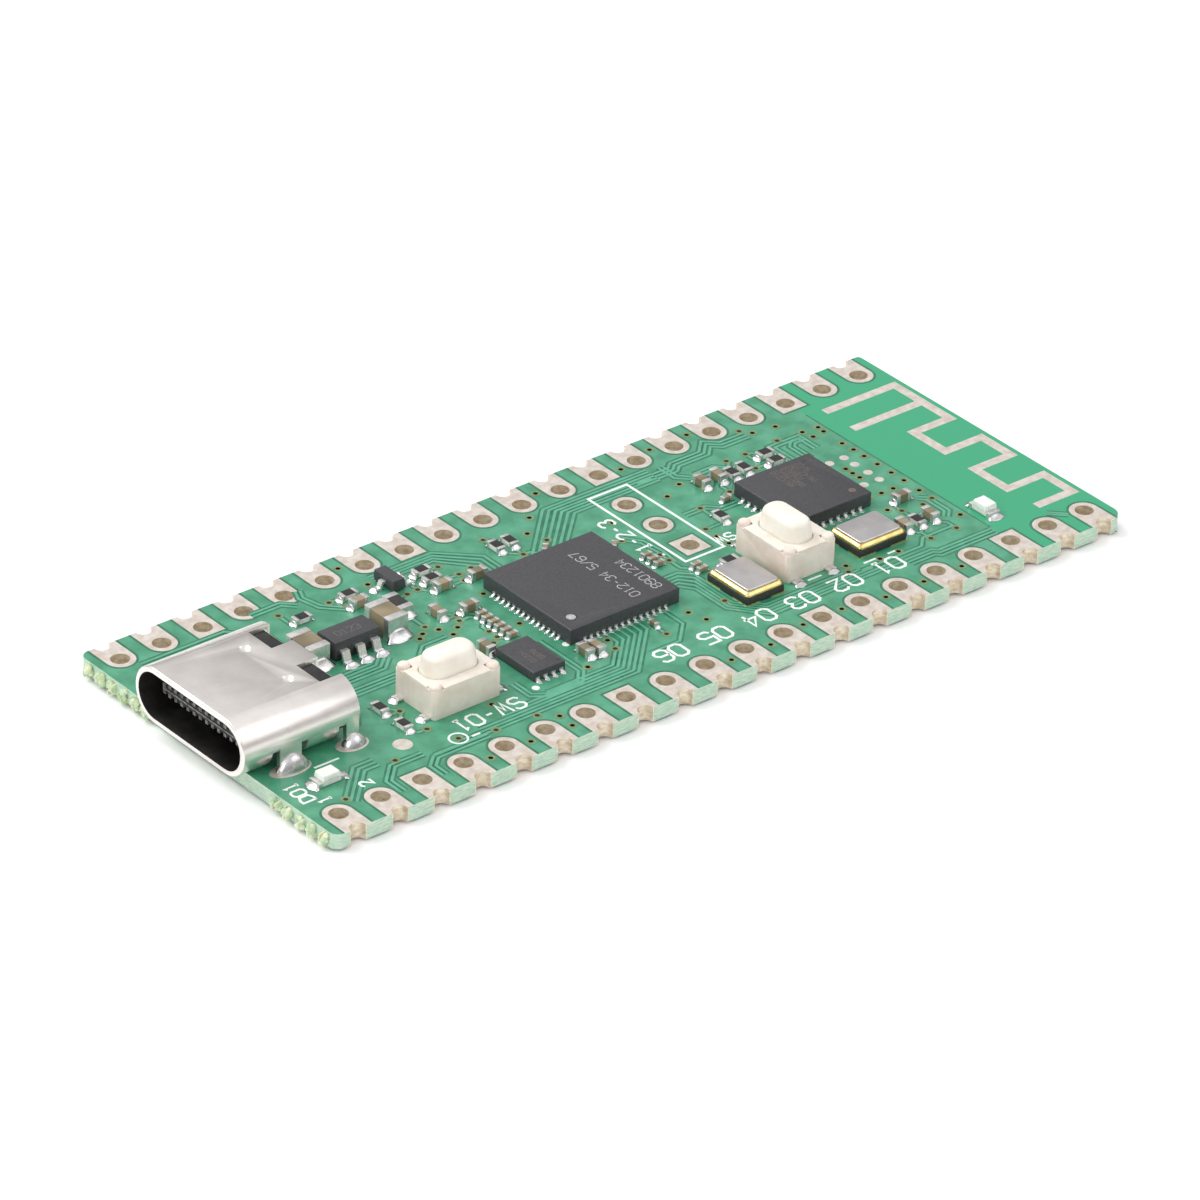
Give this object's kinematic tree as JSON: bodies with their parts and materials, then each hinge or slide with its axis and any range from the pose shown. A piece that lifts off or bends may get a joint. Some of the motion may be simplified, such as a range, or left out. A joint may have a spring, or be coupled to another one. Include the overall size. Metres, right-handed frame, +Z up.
{
  "type": "microcontroller dev board",
  "caption": "Slim microcontroller development board with edge-notched pin rows, a USB-C port, two push switches, a wireless chip and a printed antenna.",
  "frame": {"origin": "centre of the board's flat underside", "axes": "+X along the board from the USB port to the antenna, +Y across it, +Z up from the underside"},
  "size_m": [0.0519, 0.0208, 0.004],
  "materials": {
    "laminate": "green solder mask over glass laminate",
    "plated_copper": "matte tin plating",
    "connector_steel": "satin nickel plating",
    "black_resin": "moulded, matte",
    "contact_gold": "gold plating",
    "solder": "bright reflowed solder",
    "package_resin": "fine matte mould texture",
    "dark_ceramic": "fired ceramic, matte",
    "quartz": "clear",
    "ivory_resin": "moulded, satin",
    "button_resin": "moulded, satin",
    "white_ceramic": "fired ceramic, matte",
    "lens_resin": "clear to milky",
    "tan_ceramic": "fired ceramic, matte",
    "black_glaze": "glass glaze"
  },
  "bodies": {
    "board": {"circuit_board": "laminate", "header_pads": "plated_copper", "debug_header_pads": "plated_copper", "antenna_trace": "plated_copper", "test_pads": "plated_copper", "usb_shell": "connector_steel", "usb_insulator": "black_resin", "usb_contacts": "contact_gold", "usb_mid_plate": "connector_steel", "usb_leg_solder": "solder", "mcu_body": "package_resin", "mcu_leads": "solder", "wifi_chip_body": "package_resin", "wifi_chip_leads": "solder", "flash_chip_body": "package_resin", "flash_chip_leads": "solder", "regulator_body": "package_resin", "regulator_leads": "solder", "transistor_body": "package_resin", "transistor_leads": "solder", "mcu_crystal_tray": "dark_ceramic", "mcu_crystal_terminals": "contact_gold", "mcu_crystal_ring": "contact_gold", "mcu_crystal_lid": "connector_steel", "mcu_crystal_blank": "quartz", "wifi_crystal_tray": "dark_ceramic", "wifi_crystal_terminals": "contact_gold", "wifi_crystal_ring": "contact_gold", "wifi_crystal_lid": "connector_steel", "wifi_crystal_blank": "quartz", "boot_switch_housing": "ivory_resin", "boot_switch_cover": "ivory_resin", "boot_switch_dome": "connector_steel", "boot_switch_feet": "solder", "reset_switch_housing": "ivory_resin", "reset_switch_cover": "ivory_resin", "reset_switch_dome": "connector_steel", "reset_switch_feet": "solder", "usb_led_base": "white_ceramic", "usb_led_ends": "solder", "usb_led_lens": "lens_resin", "status_led_base": "white_ceramic", "status_led_ends": "solder", "status_led_lens": "lens_resin", "inductor_block": "dark_ceramic", "inductor_caps": "solder", "large_capacitor_blocks": "tan_ceramic", "large_capacitor_caps": "solder", "small_capacitor_blocks": "tan_ceramic", "small_capacitor_caps": "solder", "tiny_capacitor_blocks": "tan_ceramic", "tiny_capacitor_caps": "solder", "resistor_blocks": "white_ceramic", "resistor_glazes": "black_glaze", "resistor_caps": "solder"},
    "boot_button": {"boot_switch_button": "button_resin"},
    "reset_button": {"reset_switch_button": "button_resin"}
  },
  "joints": [
    {"name": "boot_press", "type": "slide", "parent": "board", "child": "boot_button", "axis": [0, 0, -1], "range_m": [0, 0.00025], "stiffness_N_per_m": 6400, "deforming": ["boot_switch_dome"]},
    {"name": "reset_press", "type": "slide", "parent": "board", "child": "reset_button", "axis": [0, 0, -1], "range_m": [0, 0.00025], "stiffness_N_per_m": 6400, "deforming": ["reset_switch_dome"]}
  ]
}
